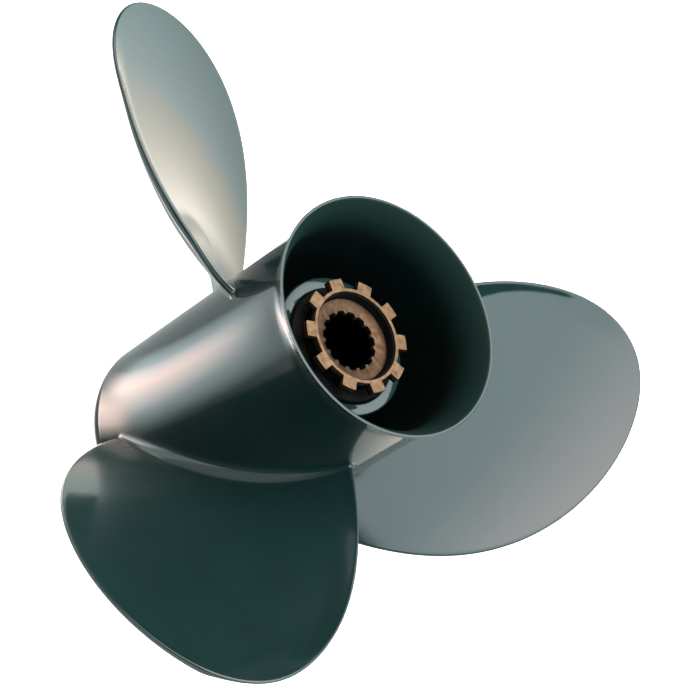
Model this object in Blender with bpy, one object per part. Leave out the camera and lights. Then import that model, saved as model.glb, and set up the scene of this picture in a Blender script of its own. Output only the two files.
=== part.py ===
"""Three-blade boat propeller with a through-hub exhaust, right-hand.

The propeller is one aluminium casting: an outer barrel that flares at its aft
end, an inner hub tube held by three ribs, and three blades on the barrel.
A rubber cushion sits in the hub tube, a splined bronze sleeve in the cushion,
and a castellated bronze ring on the cushion's aft end.

The shaft axis is Z, and +Z points aft. The origin is the centre of mass on
the shaft axis. Heights below are counted from the barrel's front face, on
which the propeller stands, and ORIGIN_HEIGHT takes them to the origin.
"""

import math

import bmesh
import bpy
import numpy as np
from mathutils import Vector

MM = 0.001
FIT_GAP = 0.3 * MM

# Barrel and flare
BARREL_LENGTH = 168.4 * MM
BARREL_RADIUS = 54.0 * MM
BARREL_WALL = 4.0 * MM
FRONT_ROUNDING = 1.6 * MM
FLARE_RADIUS = 58.7 * MM
FLARE_LENGTH = 12.4 * MM
FLARE_MOUTH_LENGTH = 20.0 * MM
FLARE_LIP = 1.8 * MM

# Inner hub tube and its ribs
TUBE_RADIUS = 34.0 * MM
TUBE_BORE = 28.3 * MM
TUBE_FRONT = 7.0 * MM
TUBE_AFT = 130.9 * MM
RIB_COUNT = 3
RIB_THICKNESS = 6.0 * MM
RIB_FRONT = 12.0 * MM
RIB_AFT = 70.0 * MM

# Blades
BLADE_COUNT = 3
TIP_RADIUS = 183.9 * MM
PITCH_ROOT = 430.0 * MM
PITCH_TIP = 462.0 * MM
BLADE_HEIGHT = 71.0 * MM
FIRST_BLADE_ANGLE = math.radians(60.0)
# Values at the root, at a third and two thirds of the span, and at the tip
HALF_ANGLE_DEG = (41.9, 36.0, 32.3, 28.0)
SKEW_DEG = (0.0, 0.5, 1.6, 6.4)
RAKE = (0.0, 14.6 * MM, 32.0 * MM, 50.8 * MM)
TIP_ROUNDNESS = 2.125
THICKNESS_ROOT = 10.0 * MM
THICKNESS_TIP = 3.0 * MM
EDGE_THICKNESS = 2.2 * MM
CUP_RISE = 2.5 * MM
CUP_WIDTH = 14.0 * MM
FILLET_AFT = 8.0 * MM
FILLET_FORWARD = 3.0 * MM
FILLET_EDGE = 3.0 * MM
FILLET_SINK = 0.6 * MM
ROOT_SINK = 2.5 * MM

# Rubber cushion
CUSHION_FRONT = 12.0 * MM
CUSHION_AFT = 133.0 * MM
COLLAR_RADIUS = 22.4 * MM
LIP_HEIGHT = 3.4 * MM

# Castellated ring
RING_AFT = 143.9 * MM
RING_THICKNESS = 4.0 * MM
RING_BORE = 21.6 * MM
RING_ROOT = 23.3 * MM
RING_TAB_RADIUS = 28.0 * MM
RING_TABS = 10
RING_TAB_DEG = 16.0
RING_PHASE_DEG = 30.5

# Splined sleeve
SLEEVE_RADIUS = 20.4 * MM
SLEEVE_FRONT = 3.0 * MM
SLEEVE_AFT = 138.6 * MM
SPLINE_TEETH = 15
SPLINE_ROOT = 14.4 * MM
SPLINE_TIP = 13.0 * MM
SPLINE_RUNOUT = 8.0 * MM
SLEEVE_MOUTH = 16.6 * MM

ORIGIN_HEIGHT = 78.0 * MM

# Facets
ROUND_STEPS = 96
FLARE_STEPS = 4
SPAN_STEPS = 14
CHORD_STEPS = 12
HUB_STEPS = 60

ALUMINIUM = ("enamelled_aluminium", (0.10, 0.13, 0.13, 1.0), 0.25, 0.6)
RUBBER = ("black_rubber", (0.02, 0.02, 0.02, 1.0), 0.75, 0.0)
BRONZE = ("bronze", (0.55, 0.38, 0.25, 1.0), 0.40, 1.0)


def make_material(name, colour, roughness, metallic):
    material = bpy.data.materials.new(name)
    material.use_nodes = True
    shader = material.node_tree.nodes["Principled BSDF"]
    shader.inputs["Base Color"].default_value = colour
    shader.inputs["Roughness"].default_value = roughness
    shader.inputs["Metallic"].default_value = metallic
    return material


def add_object(name, verts, faces, material):
    """A mesh object whose heights are turned from front-face to origin heights."""
    mesh = bpy.data.meshes.new(name)
    mesh.from_pydata([Vector(v) - Vector((0, 0, ORIGIN_HEIGHT)) for v in verts], [], faces)
    shape = bmesh.new()
    shape.from_mesh(mesh)
    bmesh.ops.recalc_face_normals(shape, faces=shape.faces)
    shape.to_mesh(mesh)
    shape.free()
    mesh.materials.append(material)
    mesh.shade_smooth()
    mesh.set_sharp_from_angle(angle=math.radians(35))
    thing = bpy.data.objects.new(name, mesh)
    bpy.context.collection.objects.link(thing)
    return thing


def ring_of_rings(rings):
    """Quads between rings of equal count, the last ring joined to the first."""
    count = len(rings[0])
    verts = [point for ring in rings for point in ring]
    faces = []
    for i in range(len(rings)):
        j = (i + 1) % len(rings)
        for a in range(count):
            b = (a + 1) % count
            faces.append((i * count + a, i * count + b, j * count + b, j * count + a))
    return verts, faces


def turned(name, profile, steps, material):
    """A closed profile of (radius, height) points, turned about the shaft axis."""
    angles = [math.tau * a / steps for a in range(steps)]
    rings = [[(r * math.cos(t), r * math.sin(t), z) for t in angles] for r, z in profile]
    return add_object(name, *ring_of_rings(rings), material)


def quarter_arc(centre, radius, start_deg, end_deg, steps):
    """Points of (radius, height) on an arc about a centre in the profile plane."""
    turns = [math.radians(start_deg + (end_deg - start_deg) * i / steps) for i in range(steps + 1)]
    return [(centre[0] + radius * math.cos(t), centre[1] + radius * math.sin(t)) for t in turns]


def flare_curve(inner_radius, outer_radius, length):
    """The barrel's wall as it leaves the straight part and curls out to the rim."""
    rise = outer_radius - inner_radius
    bend = (length ** 2 + rise ** 2) / (2 * rise)
    turn = math.asin(length / bend)
    start = BARREL_LENGTH - length
    points = []
    for i in range(FLARE_STEPS + 1):
        t = turn * i / FLARE_STEPS
        points.append((inner_radius + bend * (1 - math.cos(t)), start + bend * math.sin(t)))
    return points


def barrel_profile():
    bore = BARREL_RADIUS - BARREL_WALL
    outside = quarter_arc((BARREL_RADIUS - FRONT_ROUNDING, FRONT_ROUNDING), FRONT_ROUNDING, -90, 0, 2)
    outside += flare_curve(BARREL_RADIUS, FLARE_RADIUS, FLARE_LENGTH)
    inside = flare_curve(bore, FLARE_RADIUS - FLARE_LIP, FLARE_MOUTH_LENGTH)[::-1]
    return outside + inside + [(bore, 0.0)]


def through_stations(values, x):
    """A smooth curve through four values at 0, 1/3, 2/3 and 1."""
    total = 0.0
    for i, value in enumerate(values):
        weight = 1.0
        for j in range(4):
            if j != i:
                weight *= (3 * x - j) / (i - j)
        total += value * weight
    return total


def fillet_at(radius, u, side):
    """How far the blade's skin stands out where it runs into the barrel.

    The fillet is largest on the aft face, side 1, at the middle of the chord, u = 0.
    """
    middle = FILLET_AFT if side > 0 else FILLET_FORWARD
    size = middle + (FILLET_EDGE - middle) * u * u
    depth = max(radius - (BARREL_RADIUS - FILLET_SINK), 0.0)
    if depth >= size:
        return 0.0
    return size - math.sqrt(size ** 2 - (size - depth) ** 2)


def blade_frame(radius, wrap):
    """Point and aft-facing normal of the blade's helical sheet."""
    span = TIP_RADIUS - BARREL_RADIUS
    x = (radius - BARREL_RADIUS) / span
    step = 0.001
    pitch = (PITCH_ROOT + (PITCH_TIP - PITCH_ROOT) * x) / math.tau
    slope = (through_stations(RAKE, x + step) - through_stations(RAKE, x - step)) / (2 * step * span)
    slope += (PITCH_TIP - PITCH_ROOT) / math.tau * wrap / span
    height = BLADE_HEIGHT + through_stations(RAKE, x) + pitch * wrap
    sine, cosine = math.sin(wrap), math.cos(wrap)
    point = Vector((radius * cosine, radius * sine, height))
    normal = Vector((pitch * sine - slope * radius * cosine,
                     -slope * radius * sine - pitch * cosine, radius))
    return point, normal.normalized()


def half_wrap(radius):
    """Half of the blade's angle about the shaft at this radius, and its middle."""
    x = max((radius - BARREL_RADIUS) / (TIP_RADIUS - BARREL_RADIUS), 0.0)
    roundness = math.sqrt(max(1.0 - x ** TIP_ROUNDNESS, 0.0))
    half = math.radians(through_stations(HALF_ANGLE_DEG, x)) * roundness
    pitch = (PITCH_ROOT + (PITCH_TIP - PITCH_ROOT) * x) / math.tau
    half += fillet_at(radius, 1.0, 1) / math.hypot(radius, pitch)
    return half, math.radians(through_stations(SKEW_DEG, x))


def blade_radii():
    """Radii of the blade's rows: a plug in the barrel's wall, the fillet, the span, the tip."""
    span = TIP_RADIUS - BARREL_RADIUS
    fillet = [-FILLET_SINK, 0.1 * FILLET_AFT, 0.35 * FILLET_AFT, FILLET_AFT]
    start = math.asin(fillet[-1] / span)
    rows = [BARREL_RADIUS - ROOT_SINK] + [BARREL_RADIUS + d for d in fillet]
    for i in range(1, SPAN_STEPS):
        turn = start + (math.pi / 2 - start) * i / SPAN_STEPS
        rows.append(BARREL_RADIUS + span * math.sin(turn))
    return rows


def blade_outline():
    """Points along the blade's free edge, leading edge, tip and trailing edge."""
    span = TIP_RADIUS - BARREL_RADIUS
    points = []
    for side in (-1, 1):
        for i in range(80):
            radius = BARREL_RADIUS + span * math.sin(math.pi / 2 * i / 79)
            half, middle = half_wrap(radius)
            points.append(blade_frame(radius, middle + side * half)[0])
    return np.array(points)


def cup_at(x, from_edge):
    """How far the trailing edge is turned up aft, at a share x of the span."""
    along = min(max((x - 0.05) / 0.25, 0.0), 1.0) * min(max((0.95 - x) / 0.25, 0.0), 1.0)
    return CUP_RISE * along * max(1 - from_edge / CUP_WIDTH, 0.0) ** 2


def blade_mesh(turn):
    """One blade as a closed skin: an aft face, a forward face and a shared edge."""
    edge_line = blade_outline()
    verts, faces = [], []

    def skin_point(radius, u, side):
        half, middle = half_wrap(radius)
        point, normal = blade_frame(radius, middle + half * u)
        nearest = math.sqrt(((edge_line - np.array(point)) ** 2).sum(axis=1).min())
        swell = fillet_at(radius, u, side) if radius > BARREL_RADIUS - ROOT_SINK else 0.0
        edge = EDGE_THICKNESS / 2 + swell
        rounding = math.sqrt(1 - (1 - min(nearest / edge, 1.0)) ** 2)
        x = max((radius - BARREL_RADIUS) / (TIP_RADIUS - BARREL_RADIUS), 0.0)
        middle_thickness = THICKNESS_ROOT + (THICKNESS_TIP - THICKNESS_ROOT) * x
        belly = (middle_thickness - EDGE_THICKNESS) * 0.95 * (1 - u) * (1 + u) ** 0.6
        pitch = (PITCH_ROOT + (PITCH_TIP - PITCH_ROOT) * x) / math.tau
        cup = cup_at(x, (1 - u) * half * math.hypot(radius, pitch))
        offset = cup + (edge * rounding if side > 0 else -edge * rounding - belly)
        place = point + normal * offset
        cosine, sine = math.cos(turn), math.sin(turn)
        return (place.x * cosine - place.y * sine, place.x * sine + place.y * cosine, place.z)

    columns = [math.sin(math.pi / 2 * (2 * i / CHORD_STEPS - 1)) for i in range(CHORD_STEPS + 1)]
    rows = []
    for radius in blade_radii():
        loop = []
        for u in columns:
            loop.append(len(verts))
            verts.append(skin_point(radius, u, 1))
        for u in columns[-2:0:-1]:
            loop.append(len(verts))
            verts.append(skin_point(radius, u, -1))
        rows.append(loop)
    count = len(rows[0])
    for low, high in zip(rows, rows[1:]):
        for a in range(count):
            b = (a + 1) % count
            faces.append((low[a], low[b], high[b], high[a]))
    tip = len(verts)
    verts.append(skin_point(TIP_RADIUS, 0.0, 1))
    last = rows[-1]
    for a in range(count):
        faces.append((last[a], last[(a + 1) % count], tip))
    root = rows[0]
    for i in range(CHORD_STEPS):
        aft_a, aft_b = root[i], root[i + 1]
        front_a = root[0] if i == 0 else root[count - i]
        front_b = root[CHORD_STEPS] if i == CHORD_STEPS - 1 else root[count - i - 1]
        corners = [aft_a, front_a, front_b, aft_b]
        faces.append(tuple(dict.fromkeys(corners)))
    return verts, faces


def rib_mesh(turn):
    """A flat rib from inside the tube's wall to inside the barrel's wall."""
    near = TUBE_RADIUS - 1.0 * MM
    far = BARREL_RADIUS - BARREL_WALL + 1.0 * MM
    half = RIB_THICKNESS / 2
    verts = []
    for z in (RIB_FRONT, RIB_AFT):
        for x, y in ((near, -half), (far, -half), (far, half), (near, half)):
            cosine, sine = math.cos(turn), math.sin(turn)
            verts.append((x * cosine - y * sine, x * sine + y * cosine, z))
    faces = [(0, 1, 2, 3), (4, 5, 6, 7), (0, 1, 5, 4), (1, 2, 6, 5), (2, 3, 7, 6), (3, 0, 4, 7)]
    return verts, faces


def fuse(base, others):
    """Joins the other objects into the base with Boolean unions, then drops them."""
    for other in others:
        union = base.modifiers.new(other.name, "BOOLEAN")
        union.operation = "UNION"
        union.solver = "EXACT"
        union.object = other
    depsgraph = bpy.context.evaluated_depsgraph_get()
    fused = bpy.data.meshes.new_from_object(base.evaluated_get(depsgraph))
    base.modifiers.clear()
    base.data = fused
    fused.shade_smooth()
    fused.set_sharp_from_angle(angle=math.radians(35))
    for other in others:
        bpy.data.objects.remove(other)


def make_casting(metal):
    casting = turned("propeller_casting", barrel_profile(), ROUND_STEPS, metal)
    tube_profile = [(TUBE_RADIUS, TUBE_FRONT), (TUBE_RADIUS, TUBE_AFT), (TUBE_BORE, TUBE_AFT), (TUBE_BORE, TUBE_FRONT)]
    others = []
    for k in range(BLADE_COUNT):
        turn = FIRST_BLADE_ANGLE + math.tau * k / BLADE_COUNT
        others.append(add_object(f"blade_{k + 1}", *blade_mesh(turn), metal))
    for k in range(RIB_COUNT):
        turn = FIRST_BLADE_ANGLE + math.tau * k / RIB_COUNT
        others.append(add_object(f"rib_{k + 1}", *rib_mesh(turn), metal))
    others.append(turned("hub_tube", tube_profile, ROUND_STEPS, metal))
    fuse(casting, others)
    return casting


def make_cushion(rubber):
    bore = SLEEVE_RADIUS + FIT_GAP
    skirt = TUBE_BORE - FIT_GAP
    collar_top = RING_AFT - RING_THICKNESS - FIT_GAP
    lip = RING_BORE - FIT_GAP
    profile = [
        (skirt, CUSHION_FRONT), (skirt, CUSHION_AFT), (COLLAR_RADIUS, CUSHION_AFT),
        (COLLAR_RADIUS, collar_top), (lip, collar_top), (lip, collar_top + LIP_HEIGHT),
        (bore, collar_top + LIP_HEIGHT), (bore, CUSHION_FRONT),
    ]
    return turned("hub_cushion", profile, HUB_STEPS, rubber)


def make_ring(bronze):
    """A flat ring whose rim is cut into square tabs."""
    pitch = math.tau / RING_TABS
    tab = math.radians(RING_TAB_DEG) / 2
    gap = pitch / 2 - tab
    steps = [(-tab, RING_TAB_RADIUS), (0.0, RING_TAB_RADIUS), (tab, RING_TAB_RADIUS),
             (tab, RING_ROOT), (tab + gap, RING_ROOT), (tab + 2 * gap, RING_ROOT)]
    rim = []
    for k in range(RING_TABS):
        for angle, radius in steps:
            turn = math.radians(RING_PHASE_DEG) + k * pitch + angle
            rim.append((turn, radius))
    front = RING_AFT - RING_THICKNESS
    outside = [[(r * math.cos(t), r * math.sin(t), z) for t, r in rim] for z in (front, RING_AFT)]
    bore = []
    for z in (RING_AFT, front):
        ring = []
        for i in range(len(rim)):
            k, step = divmod(i, len(steps))
            share = (-tab, 0.0, tab * 0.8, tab * 1.2, tab + gap, tab + 2 * gap - tab * 0.2)[step]
            turn = math.radians(RING_PHASE_DEG) + k * pitch + share
            ring.append((RING_BORE * math.cos(turn), RING_BORE * math.sin(turn), z))
        bore.append(ring)
    return add_object("castellated_ring", *ring_of_rings(outside + bore), bronze)


def make_sleeve(bronze):
    """A round sleeve with straight internal splines that run out in a conical mouth."""
    pitch = math.tau / SPLINE_TEETH
    steps = [(-0.32, SPLINE_ROOT), (-0.14, SPLINE_TIP), (0.14, SPLINE_TIP), (0.32, SPLINE_ROOT)]
    turns = [pitch * (k + share) for k in range(SPLINE_TEETH) for share, _ in steps]
    teeth = [radius for _ in range(SPLINE_TEETH) for _, radius in steps]

    def ring(radii, z):
        return [(r * math.cos(t), r * math.sin(t), z) for r, t in zip(radii, turns)]

    count = len(turns)
    rings = [
        ring([SLEEVE_RADIUS] * count, SLEEVE_FRONT),
        ring([SLEEVE_RADIUS] * count, SLEEVE_AFT),
        ring(teeth, SLEEVE_AFT),
        ring(teeth, SLEEVE_FRONT + SPLINE_RUNOUT),
        ring([SLEEVE_MOUTH] * count, SLEEVE_FRONT),
    ]
    return add_object("splined_sleeve", *ring_of_rings(rings), bronze)


def main():
    for old in list(bpy.data.objects):
        bpy.data.objects.remove(old)
    metal = make_material(*ALUMINIUM)
    rubber = make_material(*RUBBER)
    bronze = make_material(*BRONZE)
    make_casting(metal)
    make_cushion(rubber)
    make_ring(bronze)
    make_sleeve(bronze)


main()
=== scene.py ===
"""The looks of the three-blade boat propeller.

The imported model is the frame. The casting, the rubber cushion, the bronze ring
and the splined sleeve are each made again here with their fine shape: root
fillets, rolled blade edges, a cupped trailing edge, rounded rims and chamfers.

Heights in the shape functions are counted from the barrel's flat front face.
A wrap is an angle about the shaft, counted from the middle of a blade's root.
"""

import math

import bmesh
import bpy
import numpy as np
from mathutils import Matrix, Vector
from mathutils.geometry import delaunay_2d_cdt


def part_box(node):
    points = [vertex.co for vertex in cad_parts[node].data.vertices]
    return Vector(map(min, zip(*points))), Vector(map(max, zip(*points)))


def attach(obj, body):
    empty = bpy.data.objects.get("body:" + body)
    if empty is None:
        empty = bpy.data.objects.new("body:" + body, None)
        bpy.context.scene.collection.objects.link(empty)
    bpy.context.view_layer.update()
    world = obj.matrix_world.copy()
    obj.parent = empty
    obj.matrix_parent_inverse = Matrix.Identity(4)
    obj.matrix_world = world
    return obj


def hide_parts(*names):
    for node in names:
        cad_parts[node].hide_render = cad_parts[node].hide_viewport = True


MM = 0.001

# Barrel and flare
BARREL_LENGTH = 168.4 * MM
BARREL_RADIUS = 54.0 * MM
BARREL_BORE = 50.0 * MM
BORE_ROUNDING = 0.8 * MM
FRONT_ROUNDING = 1.6 * MM
FLARE_RADIUS = 58.7 * MM
FLARE_LENGTH = 12.4 * MM
FLARE_MOUTH_LENGTH = 20.0 * MM
FLARE_LIP = 1.8 * MM
LIP_ROUNDING = 0.7 * MM

# Inner hub tube and its ribs
TUBE_RADIUS = 34.0 * MM
TUBE_BORE = 28.3 * MM
TUBE_FRONT = 7.0 * MM
TUBE_AFT = 130.9 * MM
TUBE_ROUNDING = 0.8 * MM
RIB_THICKNESS = 6.0 * MM
RIB_FRONT = 12.0 * MM
RIB_AFT = 70.0 * MM
RIB_FILLET = 4.0 * MM
RIB_ROUNDING = 1.5 * MM
RIB_SINK = 0.6 * MM

# Blades
BLADES = 3
FIRST_BLADE_ANGLE = math.radians(60.0)
TIP_RADIUS = 183.9 * MM
SPAN = TIP_RADIUS - BARREL_RADIUS
PITCH_ROOT = 430.0 * MM
PITCH_TIP = 462.0 * MM
BLADE_HEIGHT = 71.0 * MM
# Values at the root, at a third and two thirds of the span, and at the tip
HALF_ANGLE_DEG = (41.9, 36.0, 32.3, 28.0)
SKEW_DEG = (0.0, 0.5, 1.6, 6.4)
RAKE = (0.0, 14.6 * MM, 32.0 * MM, 50.8 * MM)
TIP_ROUNDNESS = 2.125
THICKNESS_ROOT = 10.0 * MM
THICKNESS_TIP = 3.0 * MM
BELLY_FULLNESS = 0.95
BELLY_POWER = 0.6
EDGE_RADIUS_ROOT = 1.5 * MM
EDGE_RADIUS_TIP = 0.8 * MM
FILLET_TOP_AFT = 8.0 * MM
FILLET_TOP_FORWARD = 2.0 * MM
FILLET_FOOT_AFT = 8.0 * MM
FILLET_FOOT_FORWARD = 2.0 * MM
FILLET_EDGE = 2.0 * MM
FILLET_PULL = 0.55
NECK_LENGTH = 1.5 * FILLET_TOP_AFT
NECK_ROWS = 4
# Where the next three shapes come and go: shares of the span, 0 at the root, and of the
# half chord, -1 at the leading edge and 1 at the trailing edge
ROOT_SLIMNESS = 1.0
SLIM_UNTIL = (0.0, 0.22)
SLIM_ACROSS = (-0.9, -0.1)
TRAILING_BLUNTNESS = 0.7
BLUNT_FROM = (0.15, 0.35)
BLUNT_UNTIL = (0.45, 0.8)
BLUNT_ACROSS = (0.3, 0.8)
CUP_RISE = 2.5 * MM
CUP_WIDTH = 14.0 * MM
CUP_FROM = (0.05, 0.3)
CUP_UNTIL = (0.7, 0.95)

# Hub pieces
CUSHION_FRONT = 12.0 * MM
CUSHION_AFT = 133.0 * MM
CUSHION_RADIUS = 28.0 * MM
COLLAR_RADIUS = 22.4 * MM
LIP_RADIUS = 21.4 * MM
CUSHION_BORE = 20.95 * MM
COLLAR_AFT = 139.6 * MM
LIP_AFT = 143.0 * MM
RING_AFT = 143.9 * MM
RING_THICKNESS = 4.0 * MM
RING_BORE = 21.6 * MM
RING_ROOT = 23.3 * MM
RING_TAB_RADIUS = 28.0 * MM
RING_TABS = 10
RING_TAB_WIDTH = 7.4 * MM
RING_PHASE = math.radians(30.5)
RING_WEAR = 0.8 * MM
SLEEVE_RADIUS = 20.8 * MM
SLEEVE_FRONT = 3.0 * MM
SLEEVE_AFT = 138.6 * MM
SLEEVE_CHAMFER = 0.7 * MM
SLEEVE_DISH = 0.6 * MM
SPLINE_TEETH = 15
SPLINE_ROOT = 14.4 * MM
SPLINE_TIP = 13.0 * MM
SPLINE_RUNOUT = 8.0 * MM
SLEEVE_MOUTH = 16.6 * MM

# Fineness of the meshes
ROUND_STEPS = 192
TUBE_STEPS = 144
BARREL_ROWS = 58
SPAN_ROWS = 54
CHORD_COLUMNS = 44
EDGE_STEPS = 5
FILLET_ROWS = 9
OUTLINE_POINTS = 220
CURVE_STEPS = 6
FOOT_MARGIN = 1.2 * MM
WELD = 0.005 * MM

# The photographer's place, with heights from the barrel's front face, and a lens in mm
CAMERA_PLACE = Vector((136.0, -836.3, 1038.4)) * MM
CAMERA_AIM = Vector((6.4, -16.1, 152.6)) * MM
CAMERA_ROLL = math.radians(57.45)
CAMERA_LENS = 139.8
CAMERA_FILM = 36.0

# Light, against 1.0 for the white of the picture, and studio sizes in metres
ROOM_LIGHT = 0.06
SOFTBOX_HEIGHT = 1.4
FLOOR_COLOUR = "#dcdcda"
FLOOR_GLOW = 0.9
FLOOR_REACH = 30.0
SHEET_GAP = 0.001


def linear(hex_colour):
    """An sRGB hex colour as linear red, green, blue and alpha."""
    channels = [int(hex_colour[i:i + 2], 16) / 255 for i in (1, 3, 5)]
    return [c / 12.92 if c <= 0.04045 else ((c + 0.055) / 1.055) ** 2.4 for c in channels] + [1.0]


def through_stations(values, x):
    """A smooth curve through four values at 0, 1/3, 2/3 and 1."""
    total = 0.0
    for i, value in enumerate(values):
        weight = 1.0
        for j in range(4):
            if j != i:
                weight = weight * (3 * x - j) / (i - j)
        total = total + value * weight
    return total


def smooth_step(low, high, x):
    """0 below one value and 1 above another, smooth between them."""
    t = np.clip((x - low) / (high - low), 0.0, 1.0)
    return t * t * (3 - 2 * t)


def span_share(radius):
    """How far out a radius lies: 0 on the barrel, 1 at the tip."""
    return (radius - BARREL_RADIUS) / SPAN


def pitch_per_radian(radius):
    """How far aft the blade's sheet climbs for each radian of wrap."""
    return (PITCH_ROOT + (PITCH_TIP - PITCH_ROOT) * span_share(radius)) / math.tau


def edge_radius(radius):
    """The radius that the blade's edge is rolled to."""
    return EDGE_RADIUS_ROOT + (EDGE_RADIUS_TIP - EDGE_RADIUS_ROOT) * span_share(radius)


def half_wrap(radius):
    """Half of the blade's wrap at a radius."""
    x = np.clip(span_share(radius), 0.0, 1.0)
    return np.radians(through_stations(HALF_ANGLE_DEG, x)) * np.sqrt(1 - x ** TIP_ROUNDNESS)


def middle_wrap(radius):
    """Where the middle of the blade's chord lies at a radius."""
    return np.radians(through_stations(SKEW_DEG, span_share(radius)))


def blade_sheet(radius, wrap):
    """Points and aft-facing normals of the blade's helical sheet."""
    x = span_share(radius)
    step = 0.001
    pitch = pitch_per_radian(radius)
    slope = (through_stations(RAKE, x + step) - through_stations(RAKE, x - step)) / (2 * step * SPAN)
    slope = slope + (PITCH_TIP - PITCH_ROOT) / math.tau * wrap / SPAN
    height = BLADE_HEIGHT + through_stations(RAKE, x) + pitch * wrap
    sine, cosine = np.sin(wrap), np.cos(wrap)
    points = np.stack([radius * cosine, radius * sine, height], axis=-1)
    normals = np.stack([pitch * sine - slope * radius * cosine,
                        -slope * radius * sine - pitch * cosine,
                        radius + 0 * wrap], axis=-1)
    return points, normals / np.linalg.norm(normals, axis=-1, keepdims=True)


def blade_outline():
    """The blade's free edge as a line: leading edge, tip, trailing edge."""
    turns = np.linspace(0, math.pi / 2, OUTLINE_POINTS)
    radii = BARREL_RADIUS + SPAN * np.sin(turns)
    halves, middles = half_wrap(radii), middle_wrap(radii)
    leading = blade_sheet(radii, middles - halves)[0]
    trailing = blade_sheet(radii, middles + halves)[0]
    return np.concatenate([leading, trailing[::-1][1:]])


def distance_to_line(points, line):
    """The distance from each point to the nearest stretch of a line of points."""
    starts, runs = line[:-1], line[1:] - line[:-1]
    lengths = (runs ** 2).sum(axis=1)
    reach = points[:, None, :] - starts[None]
    share = np.clip((reach * runs[None]).sum(axis=2) / lengths, 0.0, 1.0)
    gaps = reach - share[..., None] * runs[None]
    return np.sqrt((gaps ** 2).sum(axis=2).min(axis=1))


def chord_places(radius):
    """Places from -1 to 1 across the chord, crowded where the edges are rolled."""
    pitch = pitch_per_radian(radius)
    half_chord = float(half_wrap(radius) * math.hypot(radius, pitch))
    step = 0.2 * MM
    below = float(half_wrap(radius - step) * math.hypot(radius - step, pitch))
    slant = math.hypot(1.0, (below - half_chord) / step)
    roll = min(edge_radius(radius) * slant, 0.6 * half_chord)
    near = [roll * (1 - math.cos(math.pi / 2 * k / EDGE_STEPS)) / half_chord for k in range(EDGE_STEPS)]
    inner = 1 - roll / half_chord
    across = [2 * k / CHORD_COLUMNS - 1 for k in range(CHORD_COLUMNS + 1)]
    middle = [inner * (0.5 * w + 0.5 * math.sin(math.pi / 2 * w)) for w in across]
    return np.array([n - 1 for n in near] + middle + [1 - n for n in reversed(near)])


def belly_share(places):
    """How far the forward face swells across the chord: about 1 at most, ahead of the middle."""
    return BELLY_FULLNESS * (1 - places) * np.maximum(1 + places, 0.0) ** BELLY_POWER


def skin_loop(radius, outline, places):
    """One closed loop of the blade's skin: over the aft face, back over the forward face.

    The radius is one number, or one for each point of the loop.
    """
    last = len(places) - 1
    places = np.concatenate([places, places[-2:0:-1]])
    forward = np.arange(len(places)) > last
    half, middle = half_wrap(radius), middle_wrap(radius)
    x = span_share(radius)
    points, normals = blade_sheet(radius, middle + half * places)
    gap = distance_to_line(points, outline)
    gap[0] = gap[last] = 0.0
    edge = edge_radius(radius)
    rolled = edge * np.sqrt(1 - (1 - np.minimum(gap / edge, 1.0)) ** 2)
    thickness = THICKNESS_ROOT + (THICKNESS_TIP - THICKNESS_ROOT) * x
    slim = 1 - ROOT_SLIMNESS * (1 - smooth_step(*SLIM_UNTIL, x)) * smooth_step(*SLIM_ACROSS, places)
    belly = (thickness - 2 * edge) * belly_share(places) * slim
    chord = half * np.hypot(radius, pitch_per_radian(radius))
    cupped = smooth_step(*CUP_FROM, x) * (1 - smooth_step(*CUP_UNTIL, x))
    cup = CUP_RISE * cupped * np.clip(1 - (1 - places) * chord / CUP_WIDTH, 0.0, 1.0) ** 2
    blunted = smooth_step(*BLUNT_FROM, x) * (1 - smooth_step(*BLUNT_UNTIL, x))
    blunt = 1 + TRAILING_BLUNTNESS * blunted * smooth_step(*BLUNT_ACROSS, places)
    offset = cup + np.where(forward, -rolled * blunt - belly, rolled)
    return points + normals * offset[:, None]


def unrolled(points):
    """Radius, arc on the barrel and height of points, so that the barrel lies flat."""
    radius = np.hypot(points[:, 0], points[:, 1])
    return np.stack([radius, np.arctan2(points[:, 1], points[:, 0]) * BARREL_RADIUS, points[:, 2]], axis=1)


def rolled_up(flat):
    """The reverse of unrolled."""
    wrap = flat[:, 1] / BARREL_RADIUS
    return np.stack([flat[:, 0] * np.cos(wrap), flat[:, 0] * np.sin(wrap), flat[:, 2]], axis=1)


def fillet_sizes(places, aft, forward):
    """The fillet's size round the root: one on the aft face, one on the forward face, one at the edges."""
    loop = np.concatenate([places, places[-2:0:-1]])
    middle = np.where(np.arange(len(loop)) < len(places), aft, forward)
    return middle + (FILLET_EDGE - middle) * loop ** 2


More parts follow.
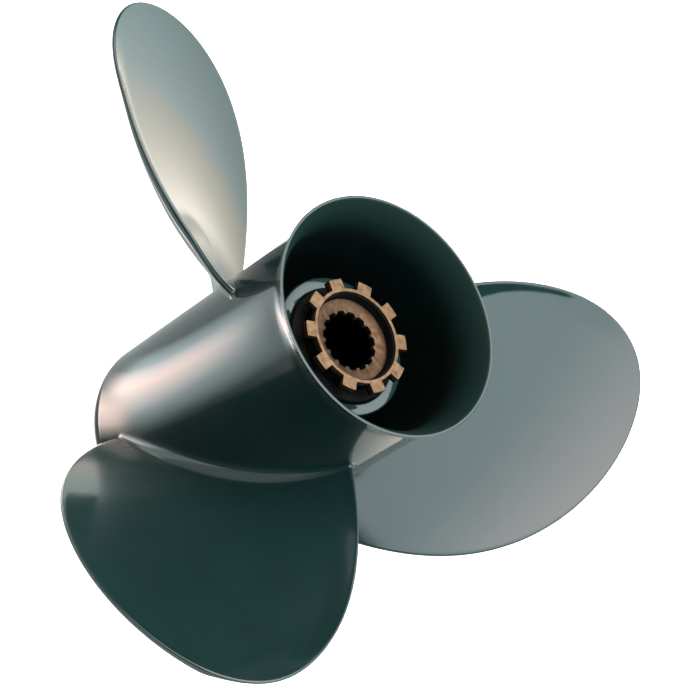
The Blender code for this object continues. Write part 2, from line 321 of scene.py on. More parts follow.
def blade_rows():
    """All loops of one blade, from the fillet's foot on the barrel to the tip, and the foot laid flat.

    The fillet is a curve from its foot to its top, pulled towards the corner where the
    skin would meet the barrel. The neck leads from its top to the first level loop.
    """
    outline = blade_outline()
    start = BARREL_RADIUS + NECK_LENGTH
    places = chord_places(start)
    last = math.asin(1 - EDGE_RADIUS_TIP / SPAN)
    turns = np.linspace(math.asin(NECK_LENGTH / SPAN), last, SPAN_ROWS)
    radii = [BARREL_RADIUS + SPAN * math.sin(t) for t in turns]
    smallest, tip_gap = 0.02, 0.01 * MM
    for k in range(1, EDGE_STEPS + 1):
        left = max(math.cos(math.pi / 2 * k / EDGE_STEPS), smallest)
        radii.append(TIP_RADIUS - EDGE_RADIUS_TIP * (1 - math.sqrt(1 - left * left)) - tip_gap)
    loops = [skin_loop(radius, outline, chord_places(radius)) for radius in radii]
    top = BARREL_RADIUS + fillet_sizes(places, FILLET_TOP_AFT, FILLET_TOP_FORWARD)
    neck = [skin_loop(top + (start - top) * k / NECK_ROWS, outline, places) for k in range(NECK_ROWS)]
    upper = unrolled(neck[0])
    lower = unrolled(skin_loop(top - 1.0 * MM, outline, places))
    drop = (upper[:, :1] - BARREL_RADIUS) / (upper[:, :1] - lower[:, :1])
    corner = upper + (lower - upper) * drop
    run = np.roll(corner, -1, axis=0) - np.roll(corner, 1, axis=0)
    outward = np.stack([0 * run[:, 0], run[:, 2], -run[:, 1]], axis=1)
    outward /= np.linalg.norm(outward, axis=1, keepdims=True)
    if ((corner - corner.mean(axis=0)) * outward).sum() < 0:
        outward = -outward
    foot = corner + outward * fillet_sizes(places, FILLET_FOOT_AFT, FILLET_FOOT_FORWARD)[:, None]
    near_foot = foot + FILLET_PULL * (corner - foot)
    near_top = upper + FILLET_PULL * (corner - upper)
    rows = []
    for k in range(FILLET_ROWS):
        t = k / FILLET_ROWS
        flat = ((1 - t) ** 3 * foot + 3 * (1 - t) ** 2 * t * near_foot
                + 3 * (1 - t) * t * t * near_top + t ** 3 * upper)
        rows.append(rolled_up(flat))
    return rows + neck + loops, foot[:, 1:]


def inside_outline(places, outline):
    """Which flat places lie inside a closed outline."""
    x, y = places[:, 0][:, None], places[:, 1][:, None]
    x0, y0 = outline[:, 0][None], outline[:, 1][None]
    x1, y1 = np.roll(outline[:, 0], -1)[None], np.roll(outline[:, 1], -1)[None]
    spans = (y0 > y) != (y1 > y)
    rise = np.where(y1 == y0, 1.0, y1 - y0)
    crossing = x0 + (y - y0) * (x1 - x0) / rise
    return (spans & (x < crossing)).sum(axis=1) % 2 == 1


def barrel_sector(foot):
    """The third of the barrel's outside around one blade, with a hole along the fillet's foot.

    The sector's sides slant with the blade, so that they pass between two blades.
    """
    low, high = FRONT_ROUNDING, BARREL_LENGTH - FLARE_LENGTH
    lean = BARREL_RADIUS / pitch_per_radian(BARREL_RADIUS)
    columns = ROUND_STEPS // BLADES
    width = math.tau * BARREL_RADIUS / BLADES
    heights = [low + (high - low) * j / BARREL_ROWS for j in range(BARREL_ROWS + 1)]

    def place(i, j):
        side = (i / columns - 0.5) * width + (heights[j] - BLADE_HEIGHT) * lean
        return side, heights[j]

    border = [place(i, 0) for i in range(columns)]
    border += [place(columns, j) for j in range(BARREL_ROWS)]
    border += [place(i, BARREL_ROWS) for i in range(columns, 0, -1)]
    border += [place(0, j) for j in range(BARREL_ROWS, 0, -1)]
    grid = np.array([place(i, j) for j in range(1, BARREL_ROWS) for i in range(1, columns)])
    clear = distance_to_line(grid, np.concatenate([foot, foot[:1]])) > FOOT_MARGIN
    grid = grid[clear & ~inside_outline(grid, foot)]
    places = [Vector(p) for p in border] + [Vector(p) for p in foot] + [Vector(p) for p in grid]
    ends = [(i, (i + 1) % len(border)) for i in range(len(border))]
    ends += [(len(border) + i, len(border) + (i + 1) % len(foot)) for i in range(len(foot))]
    inside_border, tolerance = 1, 1e-7
    verts, _, faces, _, _, _ = delaunay_2d_cdt(places, ends, [], inside_border, tolerance)
    centres = np.array([[sum(verts[v][a] for v in face) / 3 for a in (0, 1)] for face in faces])
    hole = inside_outline(centres, foot)
    kept = [tuple(face) for face, lost in zip(faces, hole) if not lost]
    flat = np.array([[BARREL_RADIUS, v[0], v[1]] for v in verts])
    return rolled_up(flat), kept


def soft_corners(corners, steps=4):
    """A closed profile of (radius, height, rounding), each corner turned into a small arc."""
    points = []
    count = len(corners)
    for i, (r, z, rounding) in enumerate(corners):
        here = Vector((r, z))
        if rounding == 0:
            points.append((r, z))
            continue
        before = Vector(corners[i - 1][:2]) - here
        after = Vector(corners[(i + 1) % count][:2]) - here
        start = here + before.normalized() * rounding
        end = here + after.normalized() * rounding
        for k in range(steps + 1):
            t = k / steps
            spot = start * (1 - t) ** 2 + here * 2 * t * (1 - t) + end * t * t
            points.append((spot.x, spot.y))
    return points


def flare_curve(inner, outer, length, steps=14):
    """The barrel's wall from its straight part out to the rim, as (radius, height)."""
    rise = outer - inner
    bend = (length ** 2 + rise ** 2) / (2 * rise)
    turn = math.asin(length / bend)
    start = BARREL_LENGTH - length
    turns = [turn * i / steps for i in range(steps + 1)]
    return [(inner + bend * (1 - math.cos(t)), start + bend * math.sin(t)) for t in turns]


def rest_of_barrel():
    """Profile from the top of the straight outside, over the flare and through the bore, to its foot."""
    outside = flare_curve(BARREL_RADIUS, FLARE_RADIUS, FLARE_LENGTH)
    inside = flare_curve(BARREL_BORE, FLARE_RADIUS - FLARE_LIP, FLARE_MOUTH_LENGTH)[::-1]
    corners = [(r, z, 0) for r, z in outside[:-1]]
    corners += [(*outside[-1], LIP_ROUNDING), (*inside[0], LIP_ROUNDING)]
    corners += [(r, z, 0) for r, z in inside[1:]]
    corners += [(BARREL_BORE, BARREL_LENGTH * share, 0) for share in (0.8, 0.6, 0.4, 0.2)]
    corners += [(BARREL_BORE, 0.0, BORE_ROUNDING)]
    profile = soft_corners(corners)
    turns = [math.pi / 2 * k / CURVE_STEPS for k in range(CURVE_STEPS + 1)]
    centre = BARREL_RADIUS - FRONT_ROUNDING
    profile += [(centre + FRONT_ROUNDING * math.sin(t), FRONT_ROUNDING * (1 - math.cos(t))) for t in turns]
    return profile


def shaft_tree():
    """Geometry Nodes that set even copies of a part round the shaft, from a first turn on."""
    tree = bpy.data.node_groups.new("round_the_shaft", "GeometryNodeTree")
    inputs = (("Part", "Geometry"), ("Copies", "Int"), ("First Turn", "Float"), ("Finish", "Material"))
    for name, kind in inputs:
        tree.interface.new_socket(name, in_out="INPUT", socket_type="NodeSocket" + kind)
    tree.interface.new_socket("Whole", in_out="OUTPUT", socket_type="NodeSocketGeometry")
    given = add_node(tree, "NodeGroupInput").outputs
    number = add_node(tree, "GeometryNodeInputIndex").outputs["Index"]
    share = add_node(tree, "ShaderNodeMath", [("operation", "DIVIDE")], [(0, number), (1, given["Copies"])])
    turn = add_node(tree, "ShaderNodeMath", [("operation", "MULTIPLY_ADD"), (1, math.tau)],
                    [(0, share.outputs[0]), (2, given["First Turn"])])
    spin = add_node(tree, "ShaderNodeCombineXYZ", links=[("Z", turn.outputs[0])])
    rotation = add_node(tree, "FunctionNodeEulerToRotation", links=[("Euler", spin.outputs[0])])
    places = add_node(tree, "GeometryNodeMeshLine",
                      [("Offset", (0.0, 0.0, 0.0))], [("Count", given["Copies"])])
    copies = add_node(tree, "GeometryNodeInstanceOnPoints", links=[
        ("Points", places.outputs["Mesh"]), ("Instance", given["Part"]), ("Rotation", rotation.outputs[0])])
    real = add_node(tree, "GeometryNodeRealizeInstances", links=[("Geometry", copies.outputs["Instances"])])
    finished = add_node(tree, "GeometryNodeSetMaterial",
                        links=[("Geometry", real.outputs["Geometry"]), ("Material", given["Finish"])])
    add_node(tree, "NodeGroupOutput", links=[("Whole", finished.outputs["Geometry"])])
    return tree


def copy_round_shaft(thing, tree, copies, first_turn, finish):
    """Turn an object's mesh into copies of itself round the shaft.

    The mesh already has the finish, because the tree would otherwise leave an empty
    slot before it.
    """
    modifier = thing.modifiers.new("round the shaft", "NODES")
    modifier.node_group = tree
    values = {"Copies": copies, "First Turn": first_turn, "Finish": finish}
    for socket in tree.interface.items_tree:
        if socket.in_out == "INPUT" and socket.name in values:
            modifier[socket.identifier] = values[socket.name]
    graph = bpy.context.evaluated_depsgraph_get()
    mesh = bpy.data.meshes.new_from_object(thing.evaluated_get(graph))
    thing.modifiers.remove(modifier)
    thing.data = mesh
    mesh.name = thing.name


class Shape:
    """Collects points and faces, with heights from the barrel's front face, for one mesh."""

    def __init__(self):
        self.points = []
        self.faces = []

    def add(self, points, faces):
        base = len(self.points)
        self.points += [(x, y, z + FRONT_FACE) for x, y, z in points]
        self.faces += [tuple(base + v for v in face) for face in faces]

    def add_loops(self, loops, closed=False, around=True):
        """Bands of four-sided faces between loops of equal count.

        Closed joins the last loop to the first. Around joins each loop's end to its start.
        """
        count = len(loops[0])
        points = [p for loop in loops for p in loop]
        bands = len(loops) if closed else len(loops) - 1
        faces = []
        for i in range(bands):
            j = (i + 1) % len(loops)
            for a in range(count if around else count - 1):
                b = (a + 1) % count
                faces.append((i * count + a, i * count + b, j * count + b, j * count + a))
        self.add(points, faces)

    def piece(self, name, material, sharp_deg=40, tree=None, copies=1, first_turn=0.0):
        """One mesh object of all that was added, or of copies of it that meet round the shaft."""
        mesh = bpy.data.meshes.new(name)
        mesh.from_pydata(self.points, [], self.faces)
        mesh.materials.append(material)
        thing = bpy.data.objects.new(name, mesh)
        bpy.context.scene.collection.objects.link(thing)
        if tree:
            copy_round_shaft(thing, tree, copies, first_turn, material)
        work = bmesh.new()
        work.from_mesh(thing.data)
        bmesh.ops.remove_doubles(work, verts=work.verts, dist=WELD)
        bmesh.ops.recalc_face_normals(work, faces=work.faces)
        loose = sum(1 for edge in work.edges if len(edge.link_faces) != 2)
        work.to_mesh(thing.data)
        work.free()
        thing.data.shade_smooth()
        thing.data.set_sharp_from_angle(angle=math.radians(sharp_deg))
        print(name, "faces", len(thing.data.polygons), "open edges", loose)
        return thing


def turned_loops(profile, steps, parts=1, first=0.0, last=0.0):
    """Loops for a profile of (radius, height): right round, or over one of the equal parts of a turn.

    The loops start at a turn that goes evenly from the first one to the last.
    """
    count = steps if parts == 1 else steps // parts + 1
    loops = []
    for i, (r, z) in enumerate(profile):
        start = first + (last - first) * i / (len(profile) - 1)
        turns = [start + math.tau * a / steps for a in range(count)]
        loops.append([(r * math.cos(t), r * math.sin(t), z) for t in turns])
    return loops


def make_casting(tree, outside, inside):
    """The barrel and its blades: a third of both, copied round the shaft."""
    shape = Shape()
    rows, foot = blade_rows()
    shape.add_loops(rows)
    tip = blade_sheet(TIP_RADIUS, middle_wrap(TIP_RADIUS))[0]
    count = len(rows[-1])
    shape.add([*rows[-1], tip], [(a, (a + 1) % count, count) for a in range(count)])
    shape.add(*barrel_sector(foot))
    profile = rest_of_barrel()
    step = math.tau / ROUND_STEPS
    lean = 1 / pitch_per_radian(BARREL_RADIUS)
    first, last = [((profile[end][1] - BLADE_HEIGHT) * lean - math.pi / BLADES) % step for end in (0, -1)]
    shape.add_loops(turned_loops(profile, ROUND_STEPS, BLADES, first, last), around=False)
    casting = shape.piece("barrel_and_blades", outside, 40, tree, BLADES, FIRST_BLADE_ANGLE)
    coat_inside(casting, inside)
    return casting


def coat_inside(casting, finish):
    """Give the barrel's inner wall, up to the lip, a finish of its own."""
    # The inner wall's finish carries painted shade: it darkens down the bore
    casting.data.materials.append(finish)
    inside = len(casting.data.materials) - 1
    mouth = BARREL_LENGTH - FLARE_MOUTH_LENGTH
    slack = 0.3 * MM
    for face in casting.data.polygons:
        radius = math.hypot(face.center.x, face.center.y)
        share = max(face.center.z - FRONT_FACE - mouth, 0.0) / FLARE_MOUTH_LENGTH
        wall = BARREL_BORE + (FLARE_RADIUS - FLARE_LIP - BARREL_BORE) * share ** 2
        if radius < wall + slack:
            face.material_index = inside


def rib_outline():
    """A rib's section across the shaft, flared where it meets the tube and the barrel."""
    near, far = TUBE_RADIUS - RIB_SINK, BARREL_BORE + RIB_SINK
    turns = [math.pi / 2 * k / CURVE_STEPS for k in range(CURVE_STEPS + 1)]
    curve = [(RIB_FILLET * (1 - math.cos(t)), RIB_THICKNESS / 2 + RIB_FILLET * (1 - math.sin(t)))
             for t in turns]
    side = [(near + x, y) for x, y in curve] + [(far - x, y) for x, y in reversed(curve)]
    return side + [(x, -y) for x, y in reversed(side)]


def make_hub_tube(tree, material):
    """The inner hub tube and the ribs that hold it in the barrel: a third, copied round the shaft."""
    shape = Shape()
    corners = [
        (TUBE_RADIUS, TUBE_FRONT, TUBE_ROUNDING), (TUBE_RADIUS, TUBE_AFT, TUBE_ROUNDING),
        (TUBE_BORE, TUBE_AFT, TUBE_ROUNDING), (TUBE_BORE, TUBE_FRONT, TUBE_ROUNDING),
    ]
    wall = turned_loops(soft_corners(corners), TUBE_STEPS, BLADES)
    shape.add_loops(wall, closed=True, around=False)
    outline = rib_outline()
    soft = RIB_ROUNDING
    levels = []
    for z, inset in ((RIB_FRONT, soft), (RIB_FRONT + 0.3 * soft, 0.3 * soft), (RIB_FRONT + soft, 0),
                     (RIB_AFT - soft, 0), (RIB_AFT - 0.3 * soft, 0.3 * soft), (RIB_AFT, soft)):
        levels.append([(x, y - math.copysign(inset, y), z) for x, y in outline])
    shape.add_loops(levels)
    whole = [tuple(range(len(outline)))]
    shape.add(levels[0], whole)
    shape.add(levels[-1], whole)
    return shape.piece("hub_tube_and_ribs", material, 40, tree, BLADES, FIRST_BLADE_ANGLE)


def make_cushion(material):
    """The rubber cushion in the hub tube, with its collar under the ring and its lip inside it."""
    soft, tight, fine = 1.2 * MM, 0.4 * MM, 0.2 * MM
    corners = [
        (CUSHION_RADIUS, CUSHION_FRONT, soft), (CUSHION_RADIUS, CUSHION_AFT, soft),
        (COLLAR_RADIUS, CUSHION_AFT, tight), (COLLAR_RADIUS, COLLAR_AFT, tight),
        (LIP_RADIUS, COLLAR_AFT, 0), (LIP_RADIUS, LIP_AFT, fine),
        (CUSHION_BORE, LIP_AFT, fine), (CUSHION_BORE, CUSHION_FRONT, soft * 0.5),
    ]
    shape = Shape()
    shape.add_loops(turned_loops(soft_corners(corners), TUBE_STEPS), closed=True)
    return shape.piece("rubber_cushion", material)


def make_ring(tree, material):
    """The castellated ring: the tenth of it round one tab, copied round the shaft."""
    end = math.pi / RING_TABS
    inner = math.asin(RING_TAB_WIDTH / 2 / RING_ROOT)
    outer = math.asin(RING_TAB_WIDTH / 2 / RING_TAB_RADIUS)
    gap = [(inner + (end - inner) * k / 4, RING_ROOT) for k in range(5)]
    tab = [(outer * (k / 3 - 1), RING_TAB_RADIUS) for k in range(7)]
    rim = [(-turn, radius) for turn, radius in reversed(gap)] + tab + gap
    bore = [(end * (2 * k / (len(rim) - 1) - 1), RING_BORE) for k in range(len(rim))]
    front = RING_AFT - RING_THICKNESS
    loops = []
    for line, z in ((rim, front), (rim, RING_AFT), (bore, RING_AFT), (bore, front)):
        loops.append([(r * math.cos(t), r * math.sin(t), z) for t, r in line])
    shape = Shape()
    shape.add_loops(loops, closed=True, around=False)
    ring = shape.piece("tabbed_ring", material, 30, tree, RING_TABS, RING_PHASE)
    bevel = ring.modifiers.new("worn edges", "BEVEL")
    bevel.width = RING_WEAR
    bevel.segments = 3
    bevel.limit_method = "ANGLE"
    bevel.angle_limit = math.radians(40)
    return ring


def make_sleeve(tree, material):
    """The splined sleeve: the fifteenth of it round one spline, copied round the shaft.

    A flank is given as (share of the spline's pitch, height from the tip at 0 to the root
    at 1). The splines' ends are rounded over 1.2 mm at the sleeve's mouth.
    """
    pitch = math.tau / SPLINE_TEETH
    flank = [(0.26, 1.0), (0.30, 0.85), (0.34, 0.5), (0.38, 0.15), (0.43, 0.0)]
    line = [(0.0, 1.0), (0.13, 1.0)] + flank + [(0.5, 0.0)]
    line += [(1 - share, height) for share, height in reversed(line[:-1])]

    def loop(tip, root, z):
        points = []
        for share, height in line:
            r, t = tip + (root - tip) * height, share * pitch
            points.append((r * math.cos(t), r * math.sin(t), z))
        return points

    edge = SLEEVE_CHAMFER
    out, low = SLEEVE_RADIUS, SLEEVE_FRONT
    mouth = SLEEVE_AFT - SLEEVE_DISH
    loops = [
        loop(out - edge, out - edge, low), loop(out, out, low + edge),
        loop(out, out, SLEEVE_AFT - edge), loop(out - edge, out - edge, SLEEVE_AFT),
        loop(out - 2 * edge, out - 2 * edge, SLEEVE_AFT),
        loop(SPLINE_ROOT + edge, SPLINE_ROOT + edge, mouth),
        loop(SPLINE_TIP + 0.5 * MM, SPLINE_ROOT + 0.15 * MM, mouth - 0.3 * MM),
        loop(SPLINE_TIP, SPLINE_ROOT, mouth - 1.2 * MM),
        loop(SPLINE_TIP, SPLINE_ROOT, low + SPLINE_RUNOUT),
        loop(SLEEVE_MOUTH, SLEEVE_MOUTH, low),
    ]
    shape = Shape()
    shape.add_loops(loops, closed=True, around=False)
    return shape.piece("bronze_sleeve", material, 28, tree, SPLINE_TEETH)


def add_node(tree, kind, settings=(), links=()):
    """One node in a tree: settings are (socket or attribute, value), links are (socket, output)."""
    node = tree.nodes.new(kind)
    for name, value in settings:
        if isinstance(name, str) and hasattr(node, name):
            setattr(node, name, value)
        else:
            node.inputs[name].default_value = value
    for name, output in links:
        tree.links.new(output, node.inputs[name])
    return node


def new_material(name, colour, roughness, metallic=0.0):
    """A material and its shader."""
    material = bpy.data.materials.new(name)
    material.use_nodes = True
    shader = material.node_tree.nodes["Principled BSDF"]
    shader.inputs["Base Color"].default_value = linear(colour)
    shader.inputs["Roughness"].default_value = roughness
    shader.inputs["Metallic"].default_value = metallic
    return material, shader


def grain(tree, size_mm, detail):
    """A pattern of soft patches, about so many millimetres across, that is fixed to the piece."""
    place = add_node(tree, "ShaderNodeTexCoord").outputs["Object"]
    return add_node(tree, "ShaderNodeTexNoise", [("Scale", 1 / (size_mm * MM)), ("Detail", detail)],
                    [("Vector", place)]).outputs["Fac"]


def mottle(tree, size_mm, detail, dark, light):
    """A colour that wanders between two tints over such a grain."""
    patches = grain(tree, size_mm, detail)
    return add_node(tree, "ShaderNodeMix", [("data_type", "RGBA"), ("A", linear(dark)), ("B", linear(light))],
                    [("Factor", patches)]).outputs["Result"]


def roughen(tree, size_mm, detail, strength, depth_mm):
    """The normals of a surface with such a grain, so many millimetres deep at strength 1."""
    bumps = grain(tree, size_mm, detail)
    return add_node(tree, "ShaderNodeBump", [("Strength", strength), ("Distance", depth_mm * MM)],
                    [("Height", bumps)]).outputs["Normal"]


def black_enamel():
    """Black-green stoved enamel on cast aluminium: a clear top over a softer ground.

    The clear coat gives the sharp reflections, the ground under it a faint broad haze.
    The ripple is the casting's own, 4 mm across, showing through the paint.
    """
    material, shader = new_material("black_enamel", "#071e1c", 0.42)
    shader.inputs["Specular IOR Level"].default_value = 0.07
    shader.inputs["Coat Weight"].default_value = 0.85
    shader.inputs["Coat Roughness"].default_value = 0.08
    shader.inputs["Coat IOR"].default_value = 1.5
    tree = material.node_tree
    tree.links.new(mottle(tree, 30.0, 2.0, "#061917", "#082321"), shader.inputs["Base Color"])
    ripple = roughen(tree, 4.0, 2.0, 0.05, 0.4)
    tree.links.new(ripple, shader.inputs["Normal"])
    tree.links.new(ripple, shader.inputs["Coat Normal"])
    return material


def height_share(tree, low, high):
    """0 below one height from the barrel's front face, 1 above the other, smooth between them."""
    place = add_node(tree, "ShaderNodeTexCoord").outputs["Object"]
    height = add_node(tree, "ShaderNodeSeparateXYZ", links=[("Vector", place)]).outputs["Z"]
    return add_node(tree, "ShaderNodeMapRange", [
        ("interpolation_type", "SMOOTHSTEP"), ("From Min", FRONT_FACE + low), ("From Max", FRONT_FACE + high),
    ], [("Value", height)]).outputs["Result"]


def dull_enamel_painted_shade():
    """The same enamel where the exhaust passes: dull, with a fine crust.

    It is darkened to near black deep inside as painted shade, and shows its green again over the last 30 mm.
    """
    material, shader = new_material("dull_enamel_painted_shade", "#04100f", 0.6)
    shader.inputs["Specular IOR Level"].default_value = 0.06
    tree = material.node_tree
    mottled_painted_shade = mottle(tree, 12.0, 4.0, "#010404", "#03100e")
    # Painted shade: the colour darkens from the mouth to near black 30 mm down the bore
    unshaded_share = height_share(tree, BARREL_LENGTH - 30 * MM, BARREL_LENGTH)
    painted_shade_blend = add_node(tree, "ShaderNodeMix", [("data_type", "RGBA"), ("B", linear("#0d1f1b"))],
                     [("Factor", unshaded_share), ("A", mottled_painted_shade)])
    tree.links.new(painted_shade_blend.outputs["Result"], shader.inputs["Base Color"])
    tree.links.new(roughen(tree, 1.5, 3.0, 0.2, 0.2), shader.inputs["Normal"])
    return material


def black_rubber():
    """Moulded nitrile rubber: dull, nearly black, with a fine grain."""
    material, shader = new_material("black_rubber", "#060606", 0.75)
    shader.inputs["Specular IOR Level"].default_value = 0.1
    tree = material.node_tree
    tree.links.new(mottle(tree, 6.0, 3.0, "#020202", "#060707"), shader.inputs["Base Color"])
    tree.links.new(roughen(tree, 1.1, 3.0, 0.25, 0.3), shader.inputs["Normal"])
    return material


def bronze_with_painted_shade(name, dark, light, shade_black_height, unshaded_height):
    """Bronze, turned and then handled: warm, half dull, browner in patches 3 mm across.

    It is painted black below one height and keeps its colour above another: painted shade,
    so that the bore and the undercuts are dark.
    """
    material, shader = new_material(name, light, 0.48, 1.0)
    tree = material.node_tree
    metal = mottle(tree, 3.0, 4.0, dark, light)
    # Painted shade: the colour goes to near black below the lower height
    unshaded_share = height_share(tree, shade_black_height, unshaded_height)
    painted_shade_mix = add_node(tree, "ShaderNodeMix", [("data_type", "RGBA"), ("A", linear("#0b0908"))],
                       [("Factor", unshaded_share), ("B", metal)])
    tree.links.new(painted_shade_mix.outputs["Result"], shader.inputs["Base Color"])
    tree.links.new(roughen(tree, 3.0, 4.0, 0.35, 0.4), shader.inputs["Normal"])
    return material


def make_floor():
    """The floor as the camera and the soft light see it. The gloss sees the cards instead."""
    material, shader = new_material("pale_floor", FLOOR_COLOUR, 0.9)
    shader.inputs["Emission Color"].default_value = linear("#ffffff")
    shader.inputs["Emission Strength"].default_value = FLOOR_GLOW
    reach = FLOOR_REACH
    mesh = bpy.data.meshes.new("floor")
    corners = [(-reach, -reach), (reach, -reach), (reach, reach), (-reach, reach)]
    mesh.from_pydata([(x, y, FRONT_FACE) for x, y in corners], [], [(0, 1, 2, 3)])
    mesh.materials.append(material)
    floor = bpy.data.objects.new("floor", mesh)
    floor.visible_glossy = False
    floor.visible_diffuse = False
    bpy.context.scene.collection.objects.link(floor)


def direction(azimuth, elevation):
    """A unit vector towards a place in the studio. Azimuth 0 is the front, -90 is the left."""
    a, e = math.radians(azimuth), math.radians(elevation)
    return Vector((math.sin(a) * math.cos(e), -math.cos(a) * math.cos(e), math.sin(e)))


def glow_material(name, colour, radiance, fades):
    """Light from a sheet that is clear where its fades reach 0.

    Each fade is (measure, where it is 0, where it is 1). The measures are x and y on
    the sheet, r for the distance from its origin, and slope for y over x.
    """
    material = bpy.data.materials.new(name)
    material.use_nodes = True
    tree = material.node_tree
    tree.nodes.clear()
    place = add_node(tree, "ShaderNodeTexCoord").outputs["Object"]
    axes = add_node(tree, "ShaderNodeSeparateXYZ", links=[("Vector", place)])
    away = add_node(tree, "ShaderNodeVectorMath", [("operation", "LENGTH")], [(0, place)])
    slope = add_node(tree, "ShaderNodeMath", [("operation", "DIVIDE")],
                     [(0, axes.outputs["Y"]), (1, axes.outputs["X"])])
    measures = {"x": axes.outputs["X"], "y": axes.outputs["Y"],
                "r": away.outputs["Value"], "slope": slope.outputs[0]}
    strength = None
    for measure, none, full in fades:
        curve = "LINEAR" if measure == "slope" else "SMOOTHERSTEP"
        fade = add_node(tree, "ShaderNodeMapRange", [
            ("interpolation_type", curve), ("From Min", none), ("From Max", full),
        ], [("Value", measures[measure])]).outputs["Result"]
        if strength is not None:
            fade = add_node(tree, "ShaderNodeMath", [("operation", "MULTIPLY")],
                            [(0, strength), (1, fade)]).outputs[0]
        strength = fade
    clear = add_node(tree, "ShaderNodeBsdfTransparent")
    glow = add_node(tree, "ShaderNodeEmission", [("Color", linear(colour)), ("Strength", radiance)])
    blend = add_node(tree, "ShaderNodeMixShader",
                     links=[(0, strength), (1, clear.outputs[0]), (2, glow.outputs[0])])
    add_node(tree, "ShaderNodeOutputMaterial", links=[("Surface", blend.outputs[0])])
    return material


def level(azimuth=90):
    """The turn of a level sheet whose x runs towards an azimuth."""
    return Matrix.Rotation(math.radians(azimuth - 90), 3, "Z")


def facing(azimuth, elevation=0):
    """The turn of a sheet that stands that way from the propeller and faces it."""
    return (-direction(azimuth, elevation)).to_track_quat("Z", "Y").to_matrix()


def card(name, centre, look, reach, radiance, fades, colour, lights=False):
    """A soft-edged sheet of light. One that does not light the scene only shows in gloss."""
    left, right, bottom, top = reach
    mesh = bpy.data.meshes.new(name)
    corners = [(left, bottom, 0), (right, bottom, 0), (right, top, 0), (left, top, 0)]
    mesh.from_pydata(corners, [], [(0, 1, 2, 3)])
    mesh.materials.append(glow_material(name, colour, radiance, fades))
    sheet = bpy.data.objects.new(name, mesh)
    sheet.location = centre
    sheet.rotation_euler = look.to_euler()
    sheet.visible_camera = False
    sheet.visible_diffuse = lights
    sheet.visible_shadow = False
    bpy.context.scene.collection.objects.link(sheet)


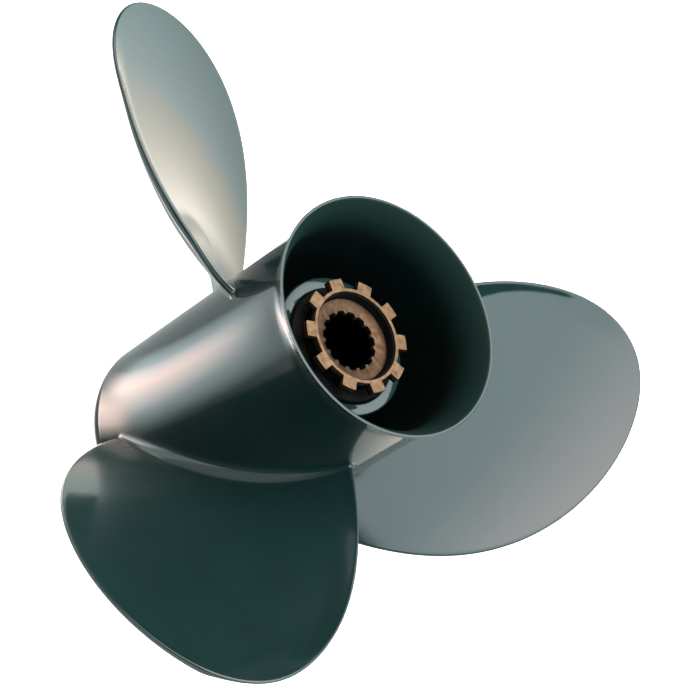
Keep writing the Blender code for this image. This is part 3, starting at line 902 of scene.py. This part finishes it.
def make_light():
    """A dim room with sheets of light. Their sizes and places are in metres."""
    world = bpy.data.worlds.new("studio")
    world.use_nodes = True
    background = world.node_tree.nodes["Background"]
    background.inputs["Color"].default_value = linear("#ffffff")
    background.inputs["Strength"].default_value = ROOM_LIGHT
    bpy.context.scene.world = world
    bpy.context.scene.view_settings.view_transform = "Standard"
    # Two soft sheets overhead light the scene as well
    high = SOFTBOX_HEIGHT
    card("overhead_softbox", (0, 0, high), level(135),
         (-0.6 * high, 2.4 * high, -1.6 * high, 0.6 * high), 4.9,
         [("x", -0.56 * high, -0.4 * high), ("x", 2.35 * high, 2.0 * high),
          ("y", -1.55 * high, -1.3 * high), ("y", 0.55 * high, 0.0)], "#ebfaff", True)
    card("overhead_glow", (-0.1 * high, 0.05 * high, high - 10 * SHEET_GAP), level(),
         (-0.8 * high, 0.8 * high, -0.8 * high, 0.8 * high), 11.3, [("r", 0.8 * high, 0.0)], "#ffeeee", True)
    # The floor that gloss sees: bright far off, dim close by, with the patches of light
    # that the barrel and the blades show, one sheet over the other
    ground = FRONT_FACE + SHEET_GAP
    card("far_floor", (0, 0, ground), level(), (-3, 3, -3, 3), 2.4, [("r", 3.0, 2.95)], "#f4fffd")
    card("warm_floor", (0, 0.45, ground + 0.5 * SHEET_GAP), level(), (-0.45, 0.45, -1.0, 1.0), 2.6,
         [("x", -0.42, -0.1), ("x", 0.42, 0.1), ("r", 1.0, 0.1)], "#fff6e6")
    card("near_floor", (0, -0.03, ground + SHEET_GAP), level(), (-0.3, 0.3, -0.3, 0.3), 0.6,
         [("r", 0.24, 0.13)], "#f2ffff")
    card("floor_pool", (0, 0, ground + 2 * SHEET_GAP), level(-46), (0.0, 0.3, -0.3, 0.3), 6.2,
         [("slope", -0.55, 0.0), ("slope", 0.8, 0.0), ("x", 0.052, 0.08), ("x", 0.21, 0.13)], "#e6fbff")
    card("floor_streak", (0, 0, ground + 3 * SHEET_GAP), level(-48), (0.0, 0.3, -0.3, 0.3), 9.6,
         [("slope", -0.25, 0.0), ("slope", 0.38, 0.0), ("x", 0.048, 0.075), ("x", 0.19, 0.1)], "#ffe4da")
    card("floor_foot", (0, 0, ground + 4 * SHEET_GAP), level(-32), (0.0, 0.1, -0.05, 0.05), 8.0,
         [("slope", -0.28, -0.05), ("slope", 0.26, 0.1), ("x", 0.04, 0.05), ("x", 0.08, 0.062)], "#ffe6dc")
    card("floor_shade", direction(35, 0) * 0.12 + Vector((0, 0, ground + 5 * SHEET_GAP)), level(),
         (-0.12, 0.12, -0.12, 0.12), 0.1, [("r", 0.12, 0.07)], "#f2ffff")
    # Lamps and pale walls for the highlights on blades, rims and flare
    card("left_softbox", direction(-140, 45) * 1.9, facing(-140, 45),
         (-1.2, 1.2, -0.5, 0.5), 2.3,
         [("x", -1.2, -0.8), ("x", 1.2, 0.8), ("y", -0.5, -0.2), ("y", 0.5, 0.2)], "#ebfaff")
    card("left_lamp", direction(-100, 52) * 1.8, facing(-100, 52), (-0.8, 0.8, -0.8, 0.8), 7.0,
         [("r", 0.8, 0.3)], "#f8fcff")
    card("rear_lamp", direction(180, 46) * 1.5, facing(180, 46), (-0.7, 0.7, -0.7, 0.7), 5.5,
         [("r", 0.7, 0.1)], "#f4ffff")
    card("left_wall", direction(-105, 0) * 1.6, facing(-105), (-1.8, 1.8, -0.08, 1.0), 1.0,
         [("x", -1.8, -1.2), ("x", 1.8, 1.2), ("y", 0.9, 0.2)], "#ebfaff")
    card("back_wall", (0.1, 1.5, 0), facing(180), (-0.7, 0.7, -0.08, 0.6), 2.4,
         [("x", -0.65, -0.5), ("x", 0.65, 0.5), ("y", 0.6, 0.4)], "#ebffff")
    card("front_wall", direction(-28, 0) * 1.6, facing(-28), (-2.4, 2.4, -0.08, 1.2), 1.2,
         [("x", -2.4, -1.6), ("x", 2.4, 1.6), ("y", 1.2, 0.7)], "#f4ffff")


def make_camera():
    """The camera at the photographer's place, rolled about its line of sight."""
    data = bpy.data.cameras.new("camera")
    data.lens = CAMERA_LENS
    data.sensor_width = CAMERA_FILM
    camera = bpy.data.objects.new("camera", data)
    camera.location = CAMERA_PLACE + Vector((0, 0, FRONT_FACE))
    look = (CAMERA_AIM - CAMERA_PLACE).to_track_quat("-Z", "Y")
    camera.rotation_euler = (look.to_matrix() @ Matrix.Rotation(CAMERA_ROLL, 3, "Z")).to_euler()
    bpy.context.scene.collection.objects.link(camera)
    bpy.context.scene.camera = camera


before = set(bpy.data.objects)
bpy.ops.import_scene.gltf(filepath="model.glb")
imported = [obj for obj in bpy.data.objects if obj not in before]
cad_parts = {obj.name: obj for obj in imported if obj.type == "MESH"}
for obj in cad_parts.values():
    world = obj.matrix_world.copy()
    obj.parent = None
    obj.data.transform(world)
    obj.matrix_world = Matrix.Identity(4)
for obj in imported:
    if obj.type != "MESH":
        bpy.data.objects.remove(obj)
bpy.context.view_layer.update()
FRONT_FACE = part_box("propeller_casting")[0].z


def main():
    make_camera()
    tree = shaft_tree()
    enamel = black_enamel()
    # Both bronzes turn near black below the given heights: painted shade under the ring and down the sleeve's
    # bore
    ring_bronze = bronze_with_painted_shade("ring_bronze", "#1d150d", "#80674f",
                               RING_AFT - 3.6 * MM, RING_AFT - 1.8 * MM)
    sleeve_bronze = bronze_with_painted_shade("sleeve_bronze", "#18110b", "#5a4736",
                                 SLEEVE_AFT - 4.0 * MM, SLEEVE_AFT - 2.0 * MM)
    dressed = [
        (make_casting(tree, enamel, dull_enamel_painted_shade()), "propeller_casting", "enamelled_aluminium"),
        (make_hub_tube(tree, enamel), "propeller_casting", "enamelled_aluminium"),
        (make_cushion(black_rubber()), "hub_cushion", "black_rubber"),
        (make_ring(tree, ring_bronze), "castellated_ring", "bronze"),
        (make_sleeve(tree, sleeve_bronze), "splined_sleeve", "bronze"),
    ]
    for piece, node, finish in dressed:
        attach(piece, "root")
        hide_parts(node)
    make_floor()
    make_light()


main()
